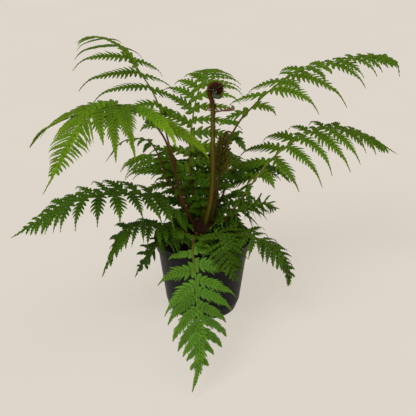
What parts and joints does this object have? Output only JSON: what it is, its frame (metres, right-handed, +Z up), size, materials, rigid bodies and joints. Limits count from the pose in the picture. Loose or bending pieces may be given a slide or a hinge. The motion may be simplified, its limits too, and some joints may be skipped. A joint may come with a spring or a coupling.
{
  "type": "potted tree fern",
  "caption": "Young tree fern in a round black nursery pot, with arching feathery fronds round a scaly crown and a rolled crozier.",
  "frame": {"origin": "centre of the pot's underside, at the height the pot stands on", "axes": "+Z up, -Y towards the picture's camera, +X to its right along the plant's longest extent"},
  "size_m": [0.741, 0.6, 0.5047],
  "materials": {
    "black_plastic": "satin",
    "potting_mix": "matte",
    "scaly_brown": "matte",
    "leaf_green": "satin",
    "unrolling_brown": "matte"
  },
  "bodies": {
    "root": {"pot": "black_plastic", "soil": "potting_mix", "crown": "scaly_brown", "crozier": "unrolling_brown", "young_frond": "unrolling_brown", "frond_front": "leaf_green", "frond_left_arching": "leaf_green", "frond_high_right": "leaf_green", "frond_right": "leaf_green", "frond_back_left": "leaf_green", "frond_low_left": "leaf_green", "frond_back_centre": "leaf_green", "frond_stunted_left": "leaf_green", "frond_short_left": "leaf_green", "frond_short_right": "leaf_green", "frond_short_front": "leaf_green", "frond_rim_left": "leaf_green", "frond_inner_left": "leaf_green", "frond_inner_back": "leaf_green", "frond_inner_right": "leaf_green", "frond_back_right": "leaf_green", "frond_rear_left": "leaf_green", "frond_rear_right": "leaf_green"}
  },
  "joints": []
}
